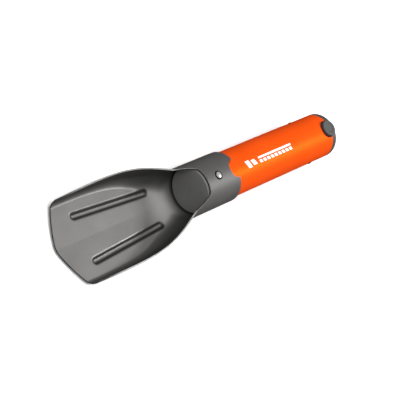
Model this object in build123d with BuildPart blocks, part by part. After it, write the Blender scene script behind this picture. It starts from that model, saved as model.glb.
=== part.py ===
from build123d import *
from math import cos, exp, log, radians, sin, tan
import os

os.makedirs("parts", exist_ok=True)

# Telescoping camp shovel, in millimetres, with the handle drawn out and locked.
# A pressed sheet blade ends in a round collar, and a tube handle slides in that collar.
# +Y runs from the blade's tip to the handle's end, +Z is up, and the origin lies under
# the middle of the whole length, on the plane that the blade's two ribs rest on.

# ---------------------------------------------------------------- driving dimensions
overall_length = 266.5
tip_y = -overall_length / 2
cap_end_y = overall_length / 2

# Blade: one sheet, pressed
sheet = 1.0
collar_radius = 18.1
collar_front_y = -17.5
collar_rear_y = 14.6
neck_y = -30.0
rib_depth = 1.6
rib_width = 6.0
rib_floor_width = 2.4
rib_front = (16.0, -108.0)
rib_rear = (12.0, -44.0)
rib_top = 0.2
axis_z = collar_radius + rib_depth

# Scoop: how much wider than the collar it flares, and the radius between floor and wall
scoop_flare = 12.2
scoop_corner = 4.3
scoop_sections = 20
seam_margin = 0.1

# Rim of the scoop, seen from the side, as heights above the tube's axis
lip_height = -13.3
lip_end_y = -121.0
lip_blend = 4.0
rim_slope = 0.205
rim_bend_y = -45.0
rim_blend = 5.0
neck_slope = 0.271
rim_corner_height = 15.4
rim_corner_blend = 2.5

# Outline of the tip, seen from above, as (x, distance behind the point)
tip_nose = (4.5, 0.8)
tip_bow = (15.0, 4.8)
tip_corner = (29.4, 12.6)
tip_side = (33.0, 21.0)
tip_corner_blend = 4.0

# Notch in the collar's rear rim, which takes the cap's tab when the handle is pushed in
notch_radius = 6.5
notch_y = 13.9
notch_blend = 1.5

# Handle
tube_radius = 16.5
tube_wall = 1.0
tube_front_y = -16.5
tube_end_y = 127.0
bore_radius = tube_radius - tube_wall
plug_face_y = -18.5
plug_radius = 16.3
spigot_clearance = 0.1
spigot_radius = bore_radius - spigot_clearance
plug_rear_y = 7.0
plug_hollow_radius = 13.4
plug_bar_width = 13.0
plug_bar_rear_y = 0.8
plug_floor_y = -14.5
gate_radius = 0.9
gate_depth = 0.3

# Lock button, which stands along +Z through plug, tube and collar
button_y = -5.6
button_radius = 2.6
button_top = 19.1
button_skirt_radius = 3.9
button_well_radius = 4.1
button_well_floor = 6.0
button_shoulder = 18.2
button_skirt_top = 14.8
button_skirt_bottom = 10.9
button_cup_radius = 2.75
button_cup_floor = 13.4
collar_hole_radius = 3.3
tube_hole_radius = 2.8

# End cap and its two latch pins, which stand along X through the tube's sides
tab_y = 124.3
tab_radius = 6.2
tab_top = 18.5
tab_gap = 0.4
tab_root = 13.6
tab_blend = 0.8
tab_dish_radius = 3.6
tab_dish_depth = 0.35
cap_rounding = 3.0
cap_spigot_radius = 15.3
cap_spigot_front_y = 102.5
cap_wall = 1.9
latch_y = 107.5
latch_radius = 1.8
latch_reach = 17.0
latch_shoulder = 16.5
latch_hole_radius = 2.0
latch_flange_radius = 2.6
latch_flange_end = 14.9
latch_flange_start = 10.0
latch_bore_radius = 2.75
latch_boss_radius = 4.6

# Coil springs
wire_radius = 0.25
coil_radius = 2.1
button_spring_pitch = 1.5
latch_spring_pitch = 2.0


def across(y):
    """Plane square to the tube's axis at y: its X is +X, its Y is +Z from the axis."""
    return Plane(origin=(0, y, axis_z), x_dir=(1, 0, 0), z_dir=(0, -1, 0))


def rim_height(y):
    """Height of the scoop's rim above the tube's axis: level at the lip, then two slopes."""
    height = lip_height
    for start, slope, blend in ((lip_end_y, rim_slope, lip_blend), (rim_bend_y, neck_slope, rim_blend)):
        height += slope * blend * log(1 + exp((y - start) / blend))
    return height


def draw_half_skin(y, inset):
    """One side of the sheet's skin at y: floor, corner and wall, as arcs end to end.
    It opens smoothly from the collar's circle at the neck to the flat scoop."""
    run = neck_y - y
    width = collar_radius + scoop_flare * (1 - exp(-((run / 22) ** 1.4))) - 0.9 * (run / 100) ** 4
    radius = scoop_corner + (collar_radius - 0.1 - scoop_corner) * exp(-run / 20)
    crease = 1.0 - 0.6 * exp(-run / 20)
    rise = 1.4 + 28.2 * exp(-run / 8)
    foot_lean = 7.5 * (1 - exp(-run / 18))
    rim_lean = 7.0 - 38.6 * exp(-run / 10)
    floor_half = width - radius * cos(radians(foot_lean)) + radius * sin(radians(rise))
    floor_slope = tan(radians((crease + rise) / 2))
    centre = Vector(
        floor_half - radius * sin(radians(rise)),
        floor_half * floor_slope - collar_radius + radius * cos(radians(rise)),
    )
    inner = radius - inset
    start = Vector(0, inset - collar_radius)
    fold = centre + Vector(0, -1).rotate(Axis.Z, rise) * inner
    middle = centre + Vector(0, -1).rotate(Axis.Z, (rise + 90 - foot_lean) / 2) * inner
    foot = centre + Vector(0, -1).rotate(Axis.Z, 90 - foot_lean) * inner
    wall_slope = tan(radians((foot_lean + rim_lean) / 2))
    rim = Vector(foot.X + (rim_height(y) - foot.Y) * wall_slope, rim_height(y))
    TangentArc(start, fold, tangent=Vector(1, 0).rotate(Axis.Z, crease))
    ThreePointArc(fold, middle, foot)
    TangentArc(foot, rim, tangent=Vector(0, 1).rotate(Axis.Z, -foot_lean))
    return rim


# ---------------------------------------------------------------- blade
with BuildPart() as blade:
    # scoop, a little thinner where it meets the collar, so that its end lies within the collar's
    for n in range(scoop_sections + 1):
        y = neck_y + (tip_y - 3 - neck_y) * n / scoop_sections
        margin = seam_margin * exp((y - neck_y) / 5)
        with BuildSketch(across(y)):
            with BuildLine():
                Line(draw_half_skin(y, margin), draw_half_skin(y, sheet - margin))
                mirror(about=Plane.YZ)
            make_face()
    loft()

    # collar, its front edge cut back on a slope that carries on from the scoop's rim
    with BuildSketch(across(collar_rear_y)):
        Circle(collar_radius)
        Circle(collar_radius - sheet, mode=Mode.SUBTRACT)
    extrude(amount=collar_rear_y - neck_y)
    with BuildSketch(Plane.YZ):
        corner = (collar_front_y, axis_z + rim_corner_height)
        with BuildLine():
            Polyline(
                (neck_y, axis_z + rim_height(neck_y)),
                corner,
                (collar_front_y, axis_z + 30),
                (neck_y, axis_z + 30),
                close=True,
            )
        make_face()
        fillet(vertices().sort_by_distance(corner)[0], rim_corner_blend)
    extrude(amount=50, both=True, mode=Mode.SUBTRACT)

    # outline of the tip, seen from above: a blunt point between two rounded corners
    with BuildSketch(Plane.XY):
        with BuildLine():
            nose = TangentArc((0, tip_y), (tip_nose[0], tip_y + tip_nose[1]), tangent=(1, 0))
            corner = (tip_corner[0], tip_y + tip_corner[1])
            side = (tip_side[0], tip_y + tip_side[1])
            ThreePointArc(nose @ 1, (tip_bow[0], tip_y + tip_bow[1]), corner)
            Polyline(corner, side, (50, side[1]), (50, tip_y - 10), (0, tip_y - 10))
            mirror(about=Plane.YZ)
        make_face()
        for x in (-corner[0], corner[0]):
            fillet(vertices().sort_by_distance((x, corner[1]))[0], tip_corner_blend)
    extrude(amount=60, mode=Mode.SUBTRACT)

    # two ribs, pressed down out of the floor
    rib_spread = (rib_width - rib_floor_width) / rib_depth
    for side in (-1, 1):
        front = Vector(side * rib_front[0], rib_front[1])
        rear = Vector(side * rib_rear[0], rib_rear[1])
        middle = (front + rear) / 2
        length = (rear - front).length
        for mode, low, high, low_width in (
            (Mode.ADD, 0, rib_depth + sheet + rib_top, rib_floor_width + sheet),
            (Mode.SUBTRACT, sheet, rib_depth + sheet + 3 * rib_top, rib_floor_width),
        ):
            for height in (low, high):
                with BuildSketch(Plane((middle.X, middle.Y, height), rear - front, (0, 0, 1))):
                    SlotCenterToCenter(length, low_width + (height - low) * rib_spread)
            loft(mode=mode)

    # hole for the lock button
    with BuildSketch(Plane.XY.offset(axis_z)):
        with Locations((0, button_y)):
            Circle(collar_hole_radius)
    extrude(amount=30, mode=Mode.SUBTRACT)

    # round notch in the collar's rear rim
    with BuildSketch(Plane.XY.offset(axis_z)):
        with Locations((0, notch_y)):
            Circle(notch_radius)
        with Locations((0, collar_rear_y)):
            Rectangle(40, 8, align=(Align.CENTER, Align.MIN))
        for x in (-notch_radius, notch_radius):
            fillet(vertices().sort_by_distance((x, collar_rear_y))[0], notch_blend)
    extrude(amount=30, mode=Mode.SUBTRACT)

blade.part.label = "blade"
export_step(blade.part, "parts/blade.step")


# ---------------------------------------------------------------- handle
with BuildPart() as handle_tube:
    with BuildSketch(across(tube_end_y)):
        Circle(tube_radius)
        Circle(bore_radius, mode=Mode.SUBTRACT)
    extrude(amount=tube_end_y - tube_front_y)

    # button hole, and the notch round the cap's tab, open to the tube's end
    with BuildSketch(Plane.XY.offset(axis_z)):
        with Locations((0, button_y)):
            Circle(tube_hole_radius)
        with Locations((0, tab_y)):
            Circle(tab_radius + tab_gap)
            Rectangle(2 * (tab_radius + tab_gap), 20, align=(Align.CENTER, Align.MIN))
    extrude(amount=30, mode=Mode.SUBTRACT)

    # a hole in each side for the latch pins
    with BuildSketch(Plane.YZ):
        with Locations((latch_y, axis_z)):
            Circle(latch_hole_radius)
    extrude(amount=30, both=True, mode=Mode.SUBTRACT)

handle_tube.part.label = "handle_tube"
export_step(handle_tube.part, "parts/handle_tube.step")


with BuildPart() as front_plug:
    with BuildSketch(across(tube_front_y)):
        Circle(plug_radius)
    extrude(amount=tube_front_y - plug_face_y)
    chamfer(edges().group_by(Axis.Y)[0], 0.4)
    with BuildSketch(across(plug_rear_y)):
        Circle(spigot_radius)
    extrude(amount=plug_rear_y - tube_front_y)

    # hollow rear, with a solid bar left across the middle for the button's well
    with BuildSketch(across(plug_rear_y)):
        Circle(plug_hollow_radius)
    extrude(amount=plug_rear_y - plug_bar_rear_y, mode=Mode.SUBTRACT)
    with BuildSketch(across(plug_bar_rear_y)):
        Circle(plug_hollow_radius)
        Rectangle(plug_bar_width, 40, mode=Mode.SUBTRACT)
    extrude(amount=plug_bar_rear_y - plug_floor_y, mode=Mode.SUBTRACT)

    # well for the button and its spring
    with BuildSketch(Plane.XY.offset(axis_z + button_well_floor)):
        with Locations((0, button_y)):
            Circle(button_well_radius)
    extrude(amount=20, mode=Mode.SUBTRACT)

    # moulding gate in the middle of the face
    with BuildSketch(across(plug_face_y)):
        Circle(gate_radius)
    extrude(amount=-gate_depth, mode=Mode.SUBTRACT)

front_plug.part.label = "front_plug"
export_step(front_plug.part, "parts/front_plug.step")


# ---------------------------------------------------------------- lock button and spring
with BuildPart() as lock_button:
    with BuildSketch(across(button_y)):
        with BuildLine():
            outline = Polyline(
                (0, button_cup_floor),
                (button_cup_radius, button_cup_floor),
                (button_cup_radius, button_skirt_bottom),
                (button_skirt_radius, button_skirt_bottom),
                (button_skirt_radius, button_skirt_top),
                (button_radius, button_skirt_top),
                (button_radius, button_shoulder),
            )
            TangentArc((0, button_top), outline @ 1, tangent=(1, 0))
            Line((0, button_top), (0, button_cup_floor))
        make_face()
    revolve(axis=Axis((0, button_y, axis_z), (0, 0, 1)))

lock_button.part.label = "lock_button"
export_step(lock_button.part, "parts/lock_button.step")


with BuildPart() as button_spring:
    with BuildLine():
        coil = Helix(
            button_spring_pitch,
            button_cup_floor - button_well_floor - 4 * wire_radius,
            coil_radius,
            center=(0, button_y, axis_z + button_well_floor + 2 * wire_radius),
        )
    with BuildSketch(Plane(coil @ 0, z_dir=coil % 0)):
        Circle(wire_radius)
    sweep()

button_spring.part.label = "button_spring"
export_step(button_spring.part, "parts/button_spring.step")


# ---------------------------------------------------------------- end cap and its latch
with BuildPart() as end_cap:
    with BuildSketch(across(cap_end_y)):
        Circle(tube_radius)
    extrude(amount=cap_end_y - tube_end_y)
    fillet(edges().group_by(Axis.Y)[-1], cap_rounding)
    with BuildSketch(across(tube_end_y)):
        Circle(cap_spigot_radius)
    extrude(amount=tube_end_y - cap_spigot_front_y)
    with BuildSketch(across(cap_end_y - 2 * cap_wall)):
        Circle(cap_spigot_radius - cap_wall)
    extrude(amount=cap_end_y - 2 * cap_wall - cap_spigot_front_y, mode=Mode.SUBTRACT)

    # boss across the hollow, bored for the latch pins and their spring
    with BuildSketch(Plane.YZ):
        with Locations((latch_y, axis_z)):
            Circle(latch_boss_radius)
    extrude(amount=cap_spigot_radius - cap_wall / 2, both=True)
    with BuildSketch(Plane.YZ):
        with Locations((latch_y, axis_z)):
            Circle(latch_bore_radius)
    extrude(amount=tube_radius, both=True, mode=Mode.SUBTRACT)

    # thumb tab, dished in the middle
    with BuildSketch(Plane.XY.offset(axis_z + tab_root)):
        with Locations((0, tab_y)):
            Circle(tab_radius)
    extrude(amount=tab_top - tab_root)
    fillet(edges().group_by(Axis.Z)[-1], tab_blend)
    with BuildSketch(Plane.XY.offset(axis_z + tab_top)):
        with Locations((0, tab_y)):
            Circle(tab_dish_radius)
    extrude(amount=-tab_dish_depth, taper=45, mode=Mode.SUBTRACT)

end_cap.part.label = "end_cap"
export_step(end_cap.part, "parts/end_cap.step")


for side, name in ((-1, "latch_pin_left"), (1, "latch_pin_right")):
    with BuildPart() as latch_pin:
        with BuildSketch(Plane((0, latch_y, axis_z), (side, 0, 0), (0, 0, side))):
            with BuildLine():
                outline = Polyline(
                    (latch_flange_start, 0),
                    (latch_flange_start, latch_flange_radius),
                    (latch_flange_end, latch_flange_radius),
                    (latch_flange_end, latch_radius),
                    (latch_shoulder, latch_radius),
                )
                TangentArc((latch_reach, 0), outline @ 1, tangent=(0, 1))
                Line((latch_reach, 0), (latch_flange_start, 0))
            make_face()
        revolve(axis=Axis((0, latch_y, axis_z), (1, 0, 0)))
    latch_pin.part.label = name
    export_step(latch_pin.part, f"parts/{name}.step")


with BuildPart() as latch_spring:
    with BuildLine():
        coil = Helix(
            latch_spring_pitch,
            2 * (latch_flange_start - 2 * wire_radius),
            coil_radius,
            center=(-latch_flange_start + 2 * wire_radius, latch_y, axis_z),
            direction=(1, 0, 0),
        )
    with BuildSketch(Plane(coil @ 0, z_dir=coil % 0)):
        Circle(wire_radius)
    sweep()

latch_spring.part.label = "latch_spring"
export_step(latch_spring.part, "parts/latch_spring.step")
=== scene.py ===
from math import atan2, cos, exp, log, pi, radians, sin, sqrt, tan

import bmesh
import bpy
from mathutils import Matrix, Vector


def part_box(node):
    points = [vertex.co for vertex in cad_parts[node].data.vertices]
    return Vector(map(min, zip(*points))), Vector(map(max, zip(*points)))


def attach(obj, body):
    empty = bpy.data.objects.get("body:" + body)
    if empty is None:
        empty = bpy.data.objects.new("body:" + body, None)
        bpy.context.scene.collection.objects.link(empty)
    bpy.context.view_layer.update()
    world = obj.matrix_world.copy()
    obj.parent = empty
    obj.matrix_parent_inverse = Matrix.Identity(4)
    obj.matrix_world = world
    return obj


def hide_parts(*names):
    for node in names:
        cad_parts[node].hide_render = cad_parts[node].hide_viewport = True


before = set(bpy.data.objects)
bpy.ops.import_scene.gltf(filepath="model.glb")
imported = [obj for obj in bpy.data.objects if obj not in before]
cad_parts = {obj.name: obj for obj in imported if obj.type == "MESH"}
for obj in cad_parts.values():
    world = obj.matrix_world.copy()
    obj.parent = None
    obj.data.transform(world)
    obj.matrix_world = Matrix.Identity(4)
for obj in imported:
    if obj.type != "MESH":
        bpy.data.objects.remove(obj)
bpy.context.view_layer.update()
scene = bpy.context.scene
MM = 0.001


def box_mm(node):
    low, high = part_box(node)
    return Vector(low) / MM, Vector(high) / MM


# ---------------------------------------------------------------- sizes, in millimetres
blade_low, blade_high = box_mm("blade")
tube_low, tube_high = box_mm("handle_tube")
button_low, button_high = box_mm("lock_button")
pin_low, pin_high = box_mm("latch_pin_right")

axis_z = (tube_low.z + tube_high.z) / 2
tube_radius = (tube_high.x - tube_low.x) / 2
tube_wall = 1.0
sheet = 1.0
collar_radius = blade_high.z - axis_z
tip_y = blade_low.y
collar_rear_y = blade_high.y
collar_front_y = -17.5
neck_y = -30.0

scoop_flare = 12.2
scoop_narrowing = 0.9
scoop_corner = 4.3
crease_angle = 1.0
floor_rise = 1.4
foot_lean = 7.5
rim_lean = 7.0
lip_height = -13.3
rim_bends = ((-121.0, 0.205, 4.0), (-45.0, 0.271, 5.0))
rim_corner_height = 15.4
rim_corner_blend = 0.5

nose_radius = 13.06
nose_half = 4.5
bow_start = 0.8
bow_slope = 0.381
bow_curve = 0.00645
bow_straight_x = 15.0
side_start = 12.6
side_x = 29.4
side_slope = 2.333
side_blend = 0.75

rib_front = (16.0, -108.0)
rib_rear = (12.2, -42.8)
rib_depth = 1.6
rib_floor = 0.7
rib_foot = 3.4

button_y = (button_low.y + button_high.y) / 2
latch_y = (pin_low.y + pin_high.y) / 2
tab_y = 124.3
tab_radius = 6.2
tab_gap = 0.4
notch_y = 13.9
notch_radius = 6.5
notch_mouth = 1.5
collar_hole_radius = 3.3
tube_hole_radius = 2.8
latch_hole_radius = 2.0


# ---------------------------------------------------------------- helpers
def new_object(name, bm, materials, smooth=True):
    mesh = bpy.data.meshes.new(name)
    bmesh.ops.recalc_face_normals(bm, faces=bm.faces)
    bm.to_mesh(mesh)
    bm.free()
    mesh.transform(Matrix.Scale(MM, 4))
    for polygon in mesh.polygons:
        polygon.use_smooth = smooth
    piece = bpy.data.objects.new(name, mesh)
    scene.collection.objects.link(piece)
    for material in materials:
        mesh.materials.append(material)
    return piece


def bake_modifiers(piece):
    """Applies the piece's modifiers to its mesh."""
    bpy.context.view_layer.update()
    graph = bpy.context.evaluated_depsgraph_get()
    changed = piece.evaluated_get(graph)
    mesh = bpy.data.meshes.new_from_object(changed, preserve_all_data_layers=True, depsgraph=graph)
    piece.modifiers.clear()
    piece.data = mesh


def prism(bm, outline, low, high, along):
    """A closed prism: outline is a list of 2-D points, and along says which axis it runs along."""
    rows = []
    for level in (low, high):
        if along == "z":
            rows.append([bm.verts.new((x, y, level)) for x, y in outline])
        else:
            rows.append([bm.verts.new((level, x, y)) for x, y in outline])
    count = len(outline)
    for n in range(count):
        m = (n + 1) % count
        bm.faces.new((rows[0][n], rows[0][m], rows[1][m], rows[1][n]))
    bm.faces.new(rows[0])
    bm.faces.new(rows[1])


def circle(x, y, radius, count=64):
    angles = [2 * pi * n / count for n in range(count)]
    return [(x + radius * cos(angle), y + radius * sin(angle)) for angle in angles]


def cut(piece, cutters, material):
    """Takes the prisms away from the piece. The cut faces get the cutter's material."""
    bm = bmesh.new()
    for outline, low, high, along in cutters:
        prism(bm, outline, low, high, along)
    cutter = new_object("cutter", bm, [material] * len(piece.data.materials), smooth=False)
    for polygon in cutter.data.polygons:
        polygon.material_index = len(piece.data.materials) - 1
    boolean = piece.modifiers.new("cut", "BOOLEAN")
    boolean.operation = "DIFFERENCE"
    boolean.solver = "EXACT"
    boolean.object = cutter
    bake_modifiers(piece)
    bpy.data.objects.remove(cutter)


def soften(piece, width, segments=3, angle=40):
    bevel = piece.modifiers.new("edges", "BEVEL")
    bevel.width = width * MM
    bevel.segments = segments
    bevel.limit_method = "ANGLE"
    bevel.angle_limit = radians(angle)
    bevel.harden_normals = False
    bevel.use_clamp_overlap = True
    bake_modifiers(piece)
    for polygon in piece.data.polygons:
        polygon.use_smooth = True


def smooth_min(a, b, blend):
    return (a + b) / 2 - sqrt(((a - b) / 2) ** 2 + blend**2)


def smooth_max(a, b, blend):
    return (a + b) / 2 + sqrt(((a - b) / 2) ** 2 + blend**2)


def ramp(value, low, high):
    share = min(max((value - low) / (high - low), 0.0), 1.0)
    return share * share * (3 - 2 * share)


# ---------------------------------------------------------------- materials
class Nodes:
    """Builds one procedural material."""

    def __init__(self, name, metallic, roughness, specular=0.5):
        self.material = bpy.data.materials.new(name)
        self.material.use_nodes = True
        self.tree = self.material.node_tree
        self.shader = self.tree.nodes["Principled BSDF"]
        self.shader.inputs["Metallic"].default_value = metallic
        self.shader.inputs["Roughness"].default_value = roughness
        self.shader.inputs["Specular IOR Level"].default_value = specular
        self.place = self.add("ShaderNodeTexCoord").outputs["Object"]
        self.last_bump = None

    def add(self, kind, **values):
        node = self.tree.nodes.new(kind)
        for key, value in values.items():
            setattr(node, key, value)
        return node

    def link(self, a, b):
        self.tree.links.new(a, b)

    def stretched(self, scale):
        mapping = self.add("ShaderNodeMapping")
        mapping.inputs["Scale"].default_value = scale
        self.link(self.place, mapping.inputs["Vector"])
        return mapping.outputs["Vector"]

    def noise(self, scale, detail=4.0, roughness=0.55, stretch=(1, 1, 1)):
        node = self.add("ShaderNodeTexNoise")
        node.inputs["Scale"].default_value = scale
        node.inputs["Detail"].default_value = detail
        node.inputs["Roughness"].default_value = roughness
        self.link(self.stretched(stretch), node.inputs["Vector"])
        return node.outputs["Fac"]

    def axis(self, letter):
        """The place along one axis, X, Y or Z."""
        node = self.add("ShaderNodeSeparateXYZ")
        self.link(self.place, node.inputs["Vector"])
        return node.outputs[letter]

    def attribute(self, name):
        return self.add("ShaderNodeAttribute", attribute_name=name).outputs["Fac"]

    def spread(self, value, *stops):
        """A ramp from (position, value) to (position, value)."""
        node = self.add("ShaderNodeMapRange")
        node.clamp = True
        (low, out_low), (high, out_high) = stops
        node.inputs["From Min"].default_value = low
        node.inputs["From Max"].default_value = high
        node.inputs["To Min"].default_value = out_low
        node.inputs["To Max"].default_value = out_high
        self.link(value, node.inputs["Value"])
        return node.outputs["Result"]

    def maths(self, operation, a, b):
        node = self.add("ShaderNodeMath", operation=operation)
        for socket, value in zip(node.inputs, (a, b)):
            if isinstance(value, (int, float)):
                socket.default_value = value
            else:
                self.link(value, socket)
        return node.outputs["Value"]

    def painted_hollow_shade(self, reach, closed, open_, most):
        """How far a point lies down in a hollow, for painted shade that darkens it there."""
        node = self.add("ShaderNodeAmbientOcclusion", samples=8)
        node.inputs["Distance"].default_value = reach
        return self.spread(node.outputs["AO"], (closed, most), (open_, 0.0))

    def mix(self, share, a, b):
        node = self.add("ShaderNodeMix", data_type="RGBA")
        for socket, value in ((node.inputs["Factor"], share), (node.inputs[6], a), (node.inputs[7], b)):
            if isinstance(value, (int, float)):
                socket.default_value = value
            elif isinstance(value, tuple):
                socket.default_value = (*value, 1.0)
            else:
                self.link(value, socket)
        return node.outputs[2]

    def colour(self, value):
        self.link(value, self.shader.inputs["Base Color"])

    def roughness(self, value):
        self.link(value, self.shader.inputs["Roughness"])

    def bump(self, height, strength, distance):
        node = self.add("ShaderNodeBump")
        node.inputs["Strength"].default_value = strength
        node.inputs["Distance"].default_value = distance
        self.link(height, node.inputs["Height"])
        if self.last_bump:
            self.link(self.last_bump, node.inputs["Normal"])
        self.last_bump = node.outputs["Normal"]
        self.link(self.last_bump, self.shader.inputs["Normal"])


def grey(value, tint=0.0):
    return (value * (1 + tint), value, value * (1 - tint))


def metal_skin():
    """Hard-anodised aluminium sheet: satin, blasted to a fine grain, faintly rubbed and scratched. Its
    floor is lighter where rubbed, with painted light near the neck; painted shade darkens its inner
    walls, the ribs' sides and its hollows.
    """
    m = Nodes("blade_skin", 0.6, 0.40, 0.2)
    m.shader.inputs["Specular Tint"].default_value = (0.35, 0.35, 0.35, 1.0)
    cloud = m.noise(38, 3)
    grain = m.noise(5200, 2)
    rub = m.noise(900, 5, 0.7, (1, 0.06, 1))
    wear_and_painted_light = m.maths("MULTIPLY", m.attribute("wear_and_painted_light"), m.spread(cloud, (0.3, 0.88), (0.7, 1.0)))
    base = m.mix(m.spread(cloud, (0.3, 0.0), (0.7, 1.0)), grey(0.088, 0.02), grey(0.104, 0.02))
    # the floor lightens where rubbed, and more towards the neck as painted light
    base = m.mix(wear_and_painted_light, base, grey(0.400, 0.015))
    # painted shade: the inward-facing walls go near-black
    painted_wall_shade = m.maths("MULTIPLY", m.attribute("painted_wall_shade"), m.spread(cloud, (0.3, 0.5), (0.7, 0.65)))
    base = m.mix(painted_wall_shade, base, grey(0.028, 0.02))
    base = m.mix(m.spread(grain, (0.4, 0.0), (0.62, 0.22)), base, grey(0.22, 0.02))
    base = m.mix(m.spread(rub, (0.62, 0.0), (0.78, 0.25)), base, grey(0.26, 0.02))
    # painted shade: the ribs' side walls go near-black
    base = m.mix(m.maths("MULTIPLY", m.attribute("painted_rib_shade"), 0.92), base, grey(0.022, 0.02))
    # painted shade: the skin goes dark grey in hollows
    m.colour(m.mix(m.painted_hollow_shade(0.004, 0.60, 0.88, 0.9), base, grey(0.035, 0.02)))
    rough = m.spread(cloud, (0.3, 0.36), (0.7, 0.42))
    rough = m.maths("ADD", rough, m.spread(grain, (0.3, -0.04), (0.7, 0.05)))
    m.roughness(m.maths("ADD", rough, m.spread(wear_and_painted_light, (0.0, 0.18), (0.11, 0.0))))
    m.link(m.spread(wear_and_painted_light, (0.25, 0.6), (0.85, 0.3)), m.shader.inputs["Metallic"])
    m.bump(grain, 0.25, 0.00004)
    m.bump(rub, 0.10, 0.00003)
    return m.material


def metal_edge():
    """The sheet's cut edge: bare and lighter than the skin, with a painted highlight; painted shade
    darkens it at the blade's front, and painted shadow darkens its inner side within the collar.
    """
    m = Nodes("blade_edge", 0.6, 0.34, 0.3)
    rub = m.noise(700, 4, 0.6)
    # bare cut edge, lightened further as a painted highlight
    bright = m.mix(m.spread(rub, (0.35, 0.0), (0.65, 1.0)), grey(0.24, 0.02), grey(0.38, 0.02))
    # painted shade: a near-black edge at the blade's front
    front_edge_shade = m.mix(m.spread(rub, (0.35, 0.0), (0.65, 1.0)), grey(0.03, 0.02), grey(0.06, 0.02))
    base = m.mix(m.spread(m.axis("Y"), (-0.112, 0.0), (-0.095, 1.0)), front_edge_shade, bright)
    spoke = m.add("ShaderNodeMapping")
    spoke.inputs["Location"].default_value = (0, 0, -axis_z * MM)
    spoke.inputs["Scale"].default_value = (1, 0, 1)
    m.link(m.place, spoke.inputs["Vector"])
    radius = m.add("ShaderNodeVectorMath", operation="LENGTH")
    m.link(spoke.outputs["Vector"], radius.inputs[0])
    inner, outer = (collar_radius - 0.60) * MM, (collar_radius - 0.35) * MM
    # painted shadow: the edge goes near-black on its inner side within the collar
    base = m.mix(m.spread(radius.outputs["Value"], (inner, 0.0), (outer, 1.0)), grey(0.008, 0.02), base)
    # painted shade: the edge goes near-black in hollows
    m.colour(m.mix(m.painted_hollow_shade(0.002, 0.35, 0.7, 0.95), base, grey(0.01, 0.02)))
    m.roughness(m.spread(rub, (0.3, 0.34), (0.7, 0.48)))
    m.bump(rub, 0.2, 0.00004)
    return m.material


def anodised(name, dark, light, edge=False):
    """Orange anodised aluminium tube: satin, with fine draw lines along it. Its edges are barer."""
    m = Nodes(name, 0.8 if edge else 0.3, 0.44, 0.5)
    m.shader.inputs["IOR"].default_value = 1.06
    m.shader.inputs["Specular Tint"].default_value = (0.5, 0.15, 0.05, 1.0)
    lines = m.noise(1500, 3, 0.6, (1, 0.02, 1))
    grain = m.noise(4600, 2)
    cloud = m.noise(30, 3)
    base = m.mix(m.spread(cloud, (0.3, 0.0), (0.7, 1.0)), dark, light)
    pale = tuple(min(1.0, c * 1.2 + 0.005) for c in light)
    base = m.mix(m.spread(lines, (0.5, 0.0), (0.8, 0.25)), base, pale)
    # painted shade: the orange goes dark brown in hollows
    m.colour(m.mix(m.painted_hollow_shade(0.003, 0.45, 0.85, 0.95), base, (0.02, 0.005, 0.003)))
    rough = m.spread(lines, (0.3, 0.42), (0.7, 0.50))
    m.roughness(m.maths("ADD", rough, m.spread(grain, (0.3, -0.03), (0.7, 0.03))))
    m.bump(grain, 0.2, 0.00003)
    m.bump(lines, 0.12, 0.00003)
    return m.material


def moulded(name, value, light):
    """Moulded plastic with a fine spark-eroded grain and a few pale rub marks."""
    m = Nodes(name, 0.0, 0.55, 0.4)
    grain = m.noise(2600, 4, 0.6)
    cloud = m.noise(60, 3)
    marks = m.noise(420, 6, 0.75, (1, 0.4, 1))
    base = m.mix(m.spread(cloud, (0.3, 0.0), (0.7, 1.0)), grey(value, 0.015), grey(light, 0.015))
    base = m.mix(m.spread(marks, (0.63, 0.0), (0.8, 0.3)), base, grey(light * 1.8, 0.015))
    m.colour(base)
    m.roughness(m.spread(grain, (0.3, 0.48), (0.7, 0.62)))
    m.bump(grain, 0.35, 0.00006)
    return m.material


def steel(name, value, rough, metallic=1.0):
    """Turned or drawn steel, with fine rings."""
    m = Nodes(name, metallic, rough)
    turned = m.noise(1800, 3, 0.6, (1, 1, 0.1))
    cloud = m.noise(300, 3)
    m.colour(m.mix(m.spread(cloud, (0.3, 0.0), (0.7, 1.0)), grey(value * 0.92), grey(value)))
    m.roughness(m.spread(turned, (0.3, rough * 0.8), (0.7, rough * 1.3)))
    m.bump(turned, 0.08, 0.00002)
    return m.material


def button_metal():
    """Bright turned steel, with painted shade darkening the foot of the dome."""
    m = Nodes("button_steel", 0.8, 0.26)
    turned = m.noise(1800, 3, 0.6, (1, 1, 0.1))
    cloud = m.noise(300, 3)
    bright = m.mix(m.spread(cloud, (0.3, 0.0), (0.7, 1.0)), grey(0.72), grey(0.85))
    # painted shade: a dark ring round the foot of the dome
    foot, crown = button_high.z * MM - 0.0009, button_high.z * MM - 0.0004
    m.colour(m.mix(m.spread(m.axis("Z"), (foot, 0.0), (crown, 1.0)), grey(0.02), bright))
    m.roughness(m.spread(turned, (0.3, 0.22), (0.7, 0.32)))
    m.bump(turned, 0.08, 0.00002)
    return m.material


def paint():
    """White printed marks, a little worn through."""
    m = Nodes("printed_marks", 0.0, 0.45)
    wear = m.noise(1600, 5, 0.7)
    m.colour(m.mix(m.spread(wear, (0.60, 0.0), (0.72, 0.5)), (0.88, 0.87, 0.85), (0.9, 0.5, 0.32)))
    m.roughness(m.spread(wear, (0.3, 0.4), (0.7, 0.55)))
    m.bump(wear, 0.2, 0.00003)
    return m.material


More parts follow.
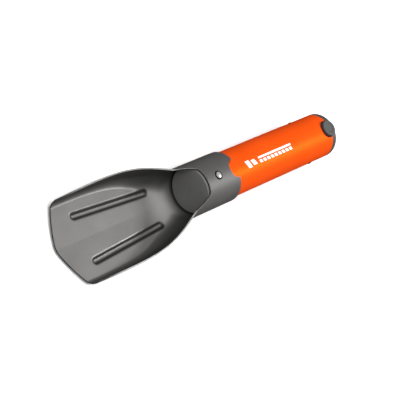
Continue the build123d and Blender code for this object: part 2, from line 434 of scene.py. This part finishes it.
skin_material = metal_skin()
edge_material = metal_edge()
tube_material = anodised("orange_anodising", (0.60, 0.060, 0.004), (0.68, 0.068, 0.006))
tube_edge_material = anodised("orange_edge", (0.62, 0.30, 0.20), (0.72, 0.42, 0.30), edge=True)
tube_inside_material = anodised("orange_inside", (0.55, 0.06, 0.004), (0.62, 0.08, 0.005))
plug_material = moulded("plug_plastic", 0.118, 0.132)
cap_material = moulded("cap_plastic", 0.034, 0.042)
button_material = button_metal()
pin_material = steel("pin_steel", 0.015, 0.6, 0.2)
spring_material = steel("spring_steel", 0.55, 0.25)
paint_material = paint()


# ---------------------------------------------------------------- blade
def rim_height(y):
    """The rim's height at y. Heights on the blade are measured from the tube's axis."""
    height = lip_height
    for start, slope, blend in rim_bends:
        height += slope * blend * log(1 + exp((y - start) / blend))
    return height


def scoop_skin(y, part, share):
    """A point of the outer skin at y, in part floor, corner or wall, share of the way across it."""
    run = max(neck_y - y, 0.0)
    flare = scoop_flare * (1 - exp(-((run / 22) ** 1.4)))
    width = collar_radius + flare - scoop_narrowing * (run / 100) ** 4
    radius = scoop_corner + (collar_radius - scoop_corner) * exp(-run / 20)
    crease = crease_angle * (1 - exp(-run / 14))
    rise = floor_rise + (30 - floor_rise) * exp(-run / 8)
    foot = foot_lean * (1 - exp(-run / 18))
    rim = rim_lean - 38.6 * exp(-run / 10)
    floor_half = width - radius * cos(radians(foot)) + radius * sin(radians(rise))
    if part == "floor":
        turn = crease + (rise - crease) * share
        x = floor_half * share
        return x, x * tan(radians((crease + turn) / 2)) - collar_radius
    floor_top = floor_half * tan(radians((crease + rise) / 2)) - collar_radius
    centre_x = floor_half - radius * sin(radians(rise))
    centre_z = floor_top + radius * cos(radians(rise))
    if part == "corner":
        turn = radians(rise + (90 - foot - rise) * share)
        return centre_x + radius * sin(turn), centre_z - radius * cos(turn)
    foot_x = centre_x + radius * cos(radians(foot))
    foot_z = centre_z - radius * sin(radians(foot))
    height = (rim_height(y) - foot_z) * share
    lean = foot + (rim - foot) * share / 2
    return foot_x + height * tan(radians(lean)), foot_z + height


def tip_outline(x):
    """How far the blade's edge lies behind its point, seen from above."""
    x = abs(x)
    if x < nose_half:
        bow = nose_radius - sqrt(nose_radius**2 - x**2)
    else:
        past = x - nose_half
        bow = bow_start + bow_slope * past + bow_curve * past * (x - bow_straight_x)
    return smooth_max(bow, side_start + (x - side_x) * side_slope, side_blend)


def rib_distance(x, y):
    """How far a point lies from the nearer rib's middle line, seen from above."""
    front = Vector(rib_front)
    along = Vector(rib_rear) - front
    point = Vector((abs(x), y))
    share = min(max((point - front).dot(along) / along.length_squared, 0.0), 1.0)
    return (point - front - along * share).length


def rib_drop(x, y):
    """How far the floor is pressed down at a point."""
    return rib_depth * (1 - ramp(rib_distance(x, y), rib_floor, rib_foot))


def blade_bmesh():
    """The blade's outer skin: columns that run from the front edge to the collar's rear rim."""
    bm = bmesh.new()
    floor_count, corner_count, wall_count, top_count = 64, 22, 18, 32
    scoop_rows, collar_rows = 130, 40
    edge_rounds = 14
    parts = [("floor", n / floor_count) for n in range(floor_count)]
    parts += [("corner", n / corner_count) for n in range(corner_count)]
    parts += [("wall", n / wall_count) for n in range(wall_count + 1)]
    rim_angle = pi - atan2(scoop_skin(neck_y, "wall", 1.0)[0], rim_height(neck_y))
    half = []
    for part, share in parts:
        y0 = tip_y + 12
        for _ in range(edge_rounds):
            y0 = tip_y + tip_outline(scoop_skin(y0, part, share)[0])
        column = []
        for n in range(scoop_rows + 1):
            y = y0 + (neck_y - y0) * n / scoop_rows
            x, z = scoop_skin(y, part, share)
            if part != "wall":
                z -= rib_drop(x, y)
            column.append((x, y, z))
        half.append(column)
    # collar columns go on from the scoop's, and close over the top
    angles = []
    for column in half:
        x, _, z = column[-1]
        angles.append(pi - atan2(x, z) if x > 1e-9 else 0.0)
    angles += [rim_angle + (pi - rim_angle) * n / top_count for n in range(1, top_count + 1)]
    collar = []
    start_height = rim_height(neck_y)
    for angle in angles:
        height = -collar_radius * cos(angle)
        climb = (height - start_height) / (rim_corner_height - start_height)
        front = smooth_min(neck_y + climb * (collar_front_y - neck_y), collar_front_y, rim_corner_blend)
        front = neck_y if angle <= rim_angle + 1e-6 else max(front, neck_y)
        column = []
        for n in range(collar_rows + 1):
            y = front + (collar_rear_y - front) * n / collar_rows
            column.append((collar_radius * sin(angle), y, height))
        collar.append(column)

    def surface(columns, sides):
        """Vertices for both sides of the middle, sharing the columns that lie on it."""
        made = {}
        for side in (1, -1):
            for c, column in enumerate(columns):
                for r, (x, y, z) in enumerate(column):
                    key = (round(side * x, 5), round(y, 5), round(z, 5))
                    if key not in sides:
                        sides[key] = bm.verts.new((side * x, y, axis_z + z))
                    made[side, c, r] = sides[key]
            for c in range(len(columns) - 1):
                for r in range(len(columns[0]) - 1):
                    corners = [made[side, c + i, r + j] for i, j in ((0, 0), (1, 0), (1, 1), (0, 1))]
                    if len(set(corners)) == 4 and not bm.faces.get(corners):
                        bm.faces.new(corners if side == 1 else corners[::-1])

    shared = {}
    surface(half, shared)
    for c, column in enumerate(half):
        collar[c][0] = column[-1]
    surface(collar, shared)
    return bm


def notch_outline():
    """The rear notch: part of a circle, with its two mouth corners rounded."""
    points = [(40.0, collar_rear_y + 9), (40.0, collar_rear_y)]
    far = sqrt((notch_radius + notch_mouth) ** 2 - (collar_rear_y - notch_mouth - notch_y) ** 2)
    corner = Vector((far, collar_rear_y - notch_mouth))
    to_circle = atan2(notch_y - corner.y, -corner.x)
    for n in range(9):
        angle = pi / 2 + (to_circle - pi / 2) * n / 8
        points.append((corner.x + notch_mouth * cos(angle), corner.y + notch_mouth * sin(angle)))
    start = atan2(corner.y - notch_y, corner.x)
    for n in range(1, 48):
        angle = start + (-pi - 2 * start) * n / 48
        points.append((notch_radius * cos(angle), notch_y + notch_radius * sin(angle)))
    mirrored = [(-x, y) for x, y in reversed(points[2:11])]
    return points + mirrored + [(-40.0, collar_rear_y), (-40.0, collar_rear_y + 9)]


blade = new_object("blade_sheet", blade_bmesh(), [skin_material, edge_material])
solid = blade.modifiers.new("sheet", "SOLIDIFY")
solid.thickness = sheet * MM
solid.offset = 1
solid.use_even_offset = True
solid.use_rim = True
solid.material_offset_rim = 1
bake_modifiers(blade)
cut(
    blade,
    [
        (circle(0, button_y, collar_hole_radius), axis_z + 5, axis_z + 30, "z"),
        (notch_outline(), axis_z + 5, axis_z + 30, "z"),
    ],
    edge_material,
)
soften(blade, 0.22)
# soil rubs the scoop's floor lighter, and painted light lightens it more towards the neck; painted shade
# darkens its inner walls and the ribs' sides
wear_and_painted_light = blade.data.attributes.new("wear_and_painted_light", "FLOAT", "POINT")
painted_wall_shade = blade.data.attributes.new("painted_wall_shade", "FLOAT", "POINT")
painted_rib_shade = blade.data.attributes.new("painted_rib_shade", "FLOAT", "POINT")
for vertex in blade.data.vertices:
    height = vertex.co.z / MM - (axis_z - collar_radius)
    in_scoop = 1 - ramp(vertex.co.y / MM, -30, -16)
    neck = ramp(vertex.co.y / MM, -56, -30)
    inward = ramp(-vertex.normal.x * (1 if vertex.co.x > 0 else -1), 0.07 + 0.3 * neck, 0.32 + 0.6 * neck)
    flat = (1 - ramp(height, 1.7, 3.0 + 6 * neck)) * (1 - inward)
    # rubbed floor, with painted light that grows towards the neck
    wear_and_painted_light.data[vertex.index].value = flat * in_scoop * (0.18 + 0.5 * neck)
    across = rib_distance(vertex.co.x / MM, vertex.co.y / MM)
    # painted shade on the inward-facing walls, starting higher towards the neck
    painted_wall_shade.data[vertex.index].value = inward * ramp(height, 1.0 + 2.5 * neck, 2.4 + 6 * neck)
    # painted shade on the ribs' upward-facing side walls
    side = ramp(across, rib_floor, 1.5) * (1 - ramp(across, 2.4, rib_foot))
    painted_rib_shade.data[vertex.index].value = side * (vertex.normal.z > 0)
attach(blade, "blade")
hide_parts("blade")


# ---------------------------------------------------------------- handle tube
def tube_rings(bm, radius, levels, count=160):
    """Rings of one radius round the tube's axis, one at each level."""
    rings = []
    for height in levels:
        ring = []
        for n in range(count):
            a, b = radius * cos(2 * pi * n / count), radius * sin(2 * pi * n / count)
            ring.append(bm.verts.new((a, height, axis_z + b)))
        rings.append(ring)
    return rings


def skin_rings(bm, rings, material):
    """Faces between each ring and the next."""
    for a, b in zip(rings, rings[1:]):
        for n in range(len(a)):
            m = (n + 1) % len(a)
            bm.faces.new((a[n], a[m], b[m], b[n])).material_index = material


bm = bmesh.new()
bore = tube_radius - tube_wall
levels = [tube_low.y + (tube_high.y - tube_low.y) * n / 40 for n in range(41)]
outer = tube_rings(bm, tube_radius, levels)
inner = tube_rings(bm, bore, levels)
# painted shade: the tube's front ring takes the dark pin steel, for the gap inside the collar
skin_rings(bm, outer[:2], 2)
skin_rings(bm, outer[1:], 0)
skin_rings(bm, inner, 1)
# painted shade: the front end face is dark steel too
skin_rings(bm, [outer[0], inner[0]], 2)
skin_rings(bm, [outer[-1], inner[-1]], 3)
tube_materials = [tube_material, tube_inside_material, pin_material, tube_edge_material]
tube = new_object("tube_body", bm, tube_materials)
gap = tab_radius + tab_gap
slot_outline = [(gap, tube_high.y + 5), (-gap, tube_high.y + 5)]
slot_outline += [(-gap * cos(pi * n / 40), tab_y - gap * sin(pi * n / 40)) for n in range(41)]
cut(
    tube,
    [
        (slot_outline, axis_z + 2, axis_z + 30, "z"),
        (circle(0, button_y, tube_hole_radius), axis_z + 2, axis_z + 30, "z"),
        (circle(latch_y, axis_z, latch_hole_radius), -40, 40, "x"),
    ],
    tube_edge_material,
)
soften(tube, 0.16)
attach(tube, "handle")
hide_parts("handle_tube")


# ---------------------------------------------------------------- generic white marks on the tube
def mark(bm, points):
    """A thin printed patch on the tube. Its outline's points are (y, angle from the top in degrees)."""
    lifted = []
    for lift in (-0.03, 0.03):
        layer = []
        radius = tube_radius + lift
        for y, angle in points:
            turn = radians(angle)
            layer.append(bm.verts.new((radius * sin(turn), y, axis_z + radius * cos(turn))))
        lifted.append(layer)
    bm.faces.new(lifted[0])
    bm.faces.new(lifted[1])
    for n in range(len(points)):
        m = (n + 1) % len(points)
        bm.faces.new((lifted[0][n], lifted[0][m], lifted[1][m], lifted[1][n]))


def band(bm, y0, y1, a0, a1, skew=0.0):
    """A printed bar from y0 to y1 and angle a0 to a1, as strips so that it follows the tube."""
    steps = max(2, int(abs(a1 - a0) / 3) + 1)
    for n in range(steps):
        low, high = a0 + (a1 - a0) * n / steps, a0 + (a1 - a0) * (n + 1) / steps
        s0, s1 = skew * n / steps, skew * (n + 1) / steps
        mark(bm, [(y0 + s0, low), (y1 + s0, low), (y1 + s1, high), (y0 + s1, high)])


bm = bmesh.new()
line_y = 40.0
tick_pitch = 4.3
band(bm, line_y, 78.0, -4.0, 1.0)
for n in range(9):
    tick_y = line_y + tick_pitch * n
    band(bm, tick_y, tick_y + 2.9, 4.5, 12.0, 1.0)
for y, size in ((25.5, 9.5), (31.5, 7.0)):
    band(bm, y, y + 4.0, 4.0 - size, 4.0 + size, 2.0)
marks = new_object("printed_bars", bm, [paint_material])
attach(marks, "handle")


# ---------------------------------------------------------------- CAD pieces that keep their shape
def finish_node(node, material):
    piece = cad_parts[node]
    piece.data.materials.clear()
    piece.data.materials.append(material)


for node, material in (
    ("front_plug", plug_material),
    ("end_cap", cap_material),
    ("lock_button", button_material),
    ("latch_pin_left", pin_material),
    ("latch_pin_right", pin_material),
    ("button_spring", spring_material),
    ("latch_spring", spring_material),
    ("blade", skin_material),
    ("handle_tube", tube_material),
):
    finish_node(node, material)


# ---------------------------------------------------------------- floor, light and camera
def floor_material():
    m = Nodes("floor_paper", 0.0, 0.9, 0.2)
    fibre = m.noise(240, 5)
    m.colour(m.mix(m.spread(fibre, (0.3, 0.0), (0.7, 1.0)), grey(0.66), grey(0.69)))
    m.bump(fibre, 0.05, 0.0001)
    return m.material


bm = bmesh.new()
reach = 40000
prism(bm, [(-reach, -reach), (reach, -reach), (reach, reach), (-reach, reach)], -20, 0, "z")
floor = new_object("floor", bm, [floor_material()], smooth=False)
floor.visible_glossy = False

world = bpy.data.worlds.new("studio")
scene.world = world
world.use_nodes = True
background = world.node_tree.nodes["Background"]
background.inputs["Color"].default_value = (1.0, 1.0, 1.0, 1.0)
background.inputs["Strength"].default_value = 0.14


def soft_light(name, place, aim, size, power):
    """A square soft box."""
    data = bpy.data.lights.new(name, "AREA")
    data.shape = "SQUARE"
    data.size = size
    data.energy = power
    light = bpy.data.objects.new(name, data)
    light.location = place
    light.rotation_euler = (Vector(aim) - Vector(place)).to_track_quat("-Z", "Y").to_euler()
    scene.collection.objects.link(light)


def sky_light(name, direction, angle, strength):
    """Wide light from above, left out of reflections."""
    data = bpy.data.lights.new(name, "SUN")
    data.energy = strength
    data.angle = radians(angle)
    light = bpy.data.objects.new(name, data)
    light.rotation_euler = (-Vector(direction)).to_track_quat("-Z", "Y").to_euler()
    light.visible_glossy = False
    scene.collection.objects.link(light)


sky_light("top", (0.05, 0.1, 1.0), 50, 4.9)
soft_light("key", (0.62, 1.40, 1.42), (0, -0.08, 0), 0.45, 34)
soft_light("front", (-0.2, -1.5, 1.3), (0, 0, 0), 0.9, 16)

camera_data = bpy.data.cameras.new("camera")
camera_data.sensor_width = 36.0
camera_data.lens = 135.0
camera_data.clip_start = 0.01
camera = bpy.data.objects.new("camera", camera_data)
camera.location = (0.06883, -0.74704, 0.72496)
camera.rotation_euler = (0.487526, -0.670499, 0.946104)
scene.collection.objects.link(camera)
scene.camera = camera
scene.view_settings.view_transform = "Standard"

bpy.context.view_layer.update()
